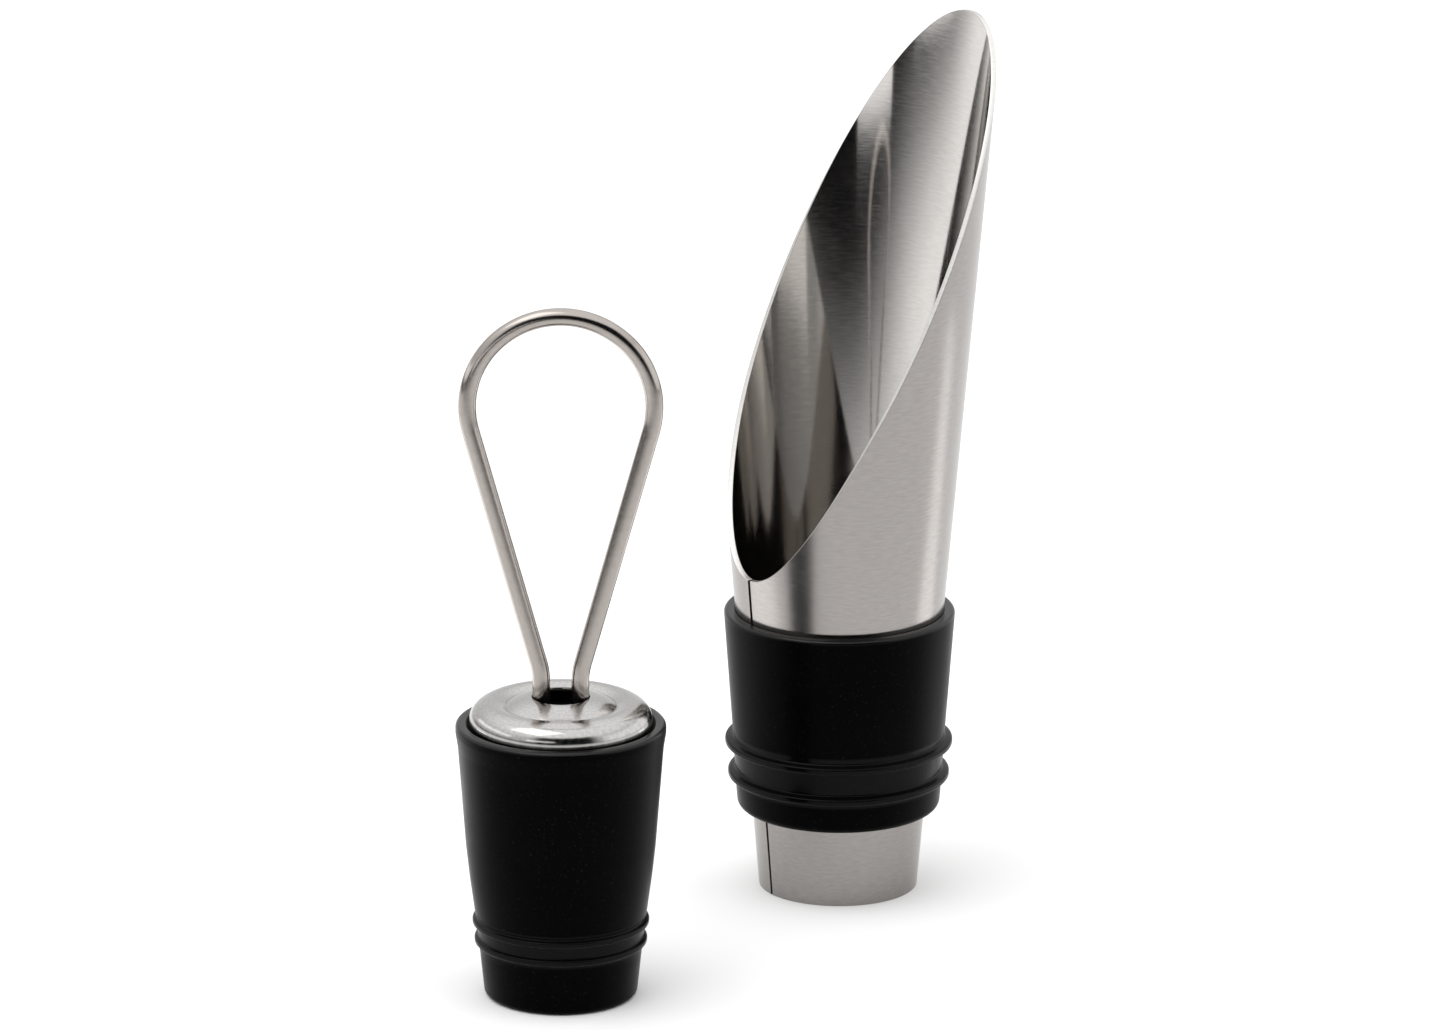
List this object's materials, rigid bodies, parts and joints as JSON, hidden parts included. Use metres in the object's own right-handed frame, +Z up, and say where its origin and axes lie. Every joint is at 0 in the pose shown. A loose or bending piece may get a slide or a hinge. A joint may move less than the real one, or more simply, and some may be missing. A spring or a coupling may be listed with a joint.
{
  "type": "liquor pour spout",
  "caption": "Rolled conical steel pour spout with an oblique scooped mouth and a finned rubber bottle sleeve, with its tapered rubber stopper, steel cap and wire pull loop standing beside it.",
  "frame": {"origin": "on the spout's axis, at the flat end of its foot, which is also the surface that both pieces stand on", "axes": "+Z up along the spout's axis; -X towards the open mouth and the seam, +X towards the pouring tip, so XZ is the spout's mirror plane"},
  "size_m": [0.062, 0.0343, 0.0808],
  "materials": {
    "rolled_steel": "satin, brushed around the cone outside, smoother inside",
    "sleeve_rubber": "moulded, satin",
    "plug_rubber": "moulded, satin",
    "polished_steel": "polished, faint concentric spinning marks",
    "wire_steel": "drawn, satin",
    "washer_steel": "mill"
  },
  "bodies": {
    "spout": {"spout_shell": "rolled_steel", "bottle_sleeve": "sleeve_rubber"},
    "stopper": {"stopper_plug": "plug_rubber", "stopper_cap": "polished_steel", "pull_loop": "wire_steel", "anchor_washer": "washer_steel"}
  },
  "joints": [
    {"name": "stopper_lift", "type": "slide", "parent": "spout", "child": "stopper", "axis": [0, 0, 1], "range_m": [0, 0.09]}
  ]
}
